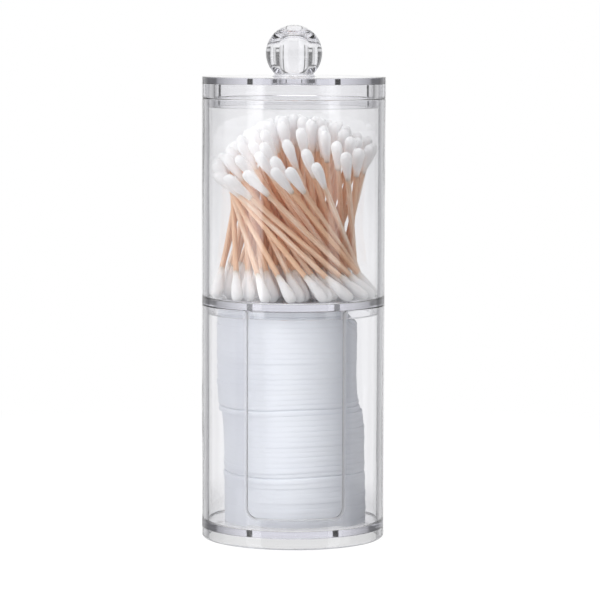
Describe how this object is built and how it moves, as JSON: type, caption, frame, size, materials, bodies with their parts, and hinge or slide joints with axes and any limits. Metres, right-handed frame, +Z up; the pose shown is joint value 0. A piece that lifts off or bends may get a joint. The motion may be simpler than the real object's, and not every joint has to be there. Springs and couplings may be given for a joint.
{
  "type": "cotton swab holder",
  "caption": "Clear two-tier round canister: a slotted tube with a stack of cotton pads below, a cup of wooden-stick cotton swabs above and a lift-off lid with a ball knob.",
  "frame": {"origin": "centre of the foot ring, on the surface the holder stands on", "axes": "+Z up the common axis of tube, cup and lid; the pad slot faces -Y"},
  "size_m": [0.073, 0.073, 0.2044],
  "materials": {
    "clear_plastic": "crystal clear polished moulded plastic",
    "birch": "plain sanded birch",
    "wound_cotton": "soft wound cotton",
    "pressed_cotton": "pressed cotton"
  },
  "bodies": {
    "pad_tier": {"pad_tube": "clear_plastic", "cotton_pad_01": "pressed_cotton", "cotton_pad_02": "pressed_cotton", "cotton_pad_03": "pressed_cotton", "cotton_pad_04": "pressed_cotton", "cotton_pad_05": "pressed_cotton", "cotton_pad_06": "pressed_cotton", "cotton_pad_07": "pressed_cotton", "cotton_pad_08": "pressed_cotton", "cotton_pad_09": "pressed_cotton", "cotton_pad_10": "pressed_cotton", "cotton_pad_11": "pressed_cotton", "cotton_pad_12": "pressed_cotton", "cotton_pad_13": "pressed_cotton", "cotton_pad_14": "pressed_cotton", "cotton_pad_15": "pressed_cotton", "cotton_pad_16": "pressed_cotton", "cotton_pad_17": "pressed_cotton", "cotton_pad_18": "pressed_cotton", "cotton_pad_19": "pressed_cotton", "cotton_pad_20": "pressed_cotton", "cotton_pad_21": "pressed_cotton", "cotton_pad_22": "pressed_cotton", "cotton_pad_23": "pressed_cotton", "cotton_pad_24": "pressed_cotton", "cotton_pad_25": "pressed_cotton", "cotton_pad_26": "pressed_cotton", "cotton_pad_27": "pressed_cotton", "cotton_pad_28": "pressed_cotton", "cotton_pad_29": "pressed_cotton", "cotton_pad_30": "pressed_cotton", "cotton_pad_31": "pressed_cotton", "cotton_pad_32": "pressed_cotton", "cotton_pad_33": "pressed_cotton", "cotton_pad_34": "pressed_cotton", "cotton_pad_35": "pressed_cotton", "cotton_pad_36": "pressed_cotton", "cotton_pad_37": "pressed_cotton", "cotton_pad_38": "pressed_cotton", "cotton_pad_39": "pressed_cotton", "cotton_pad_40": "pressed_cotton", "cotton_pad_41": "pressed_cotton", "cotton_pad_42": "pressed_cotton"},
    "swab_tier": {"swab_cup": "clear_plastic", "swab_sticks": "birch", "swab_tips": "wound_cotton"},
    "lid_piece": {"lid": "clear_plastic"}
  },
  "joints": [
    {"name": "swab_tier_lift", "type": "slide", "parent": "pad_tier", "child": "swab_tier", "axis": [0, 0, 1], "range_m": [0, 0.06]},
    {"name": "lid_lift", "type": "slide", "parent": "swab_tier", "child": "lid_piece", "axis": [0, 0, 1], "range_m": [0, 0.06]}
  ]
}
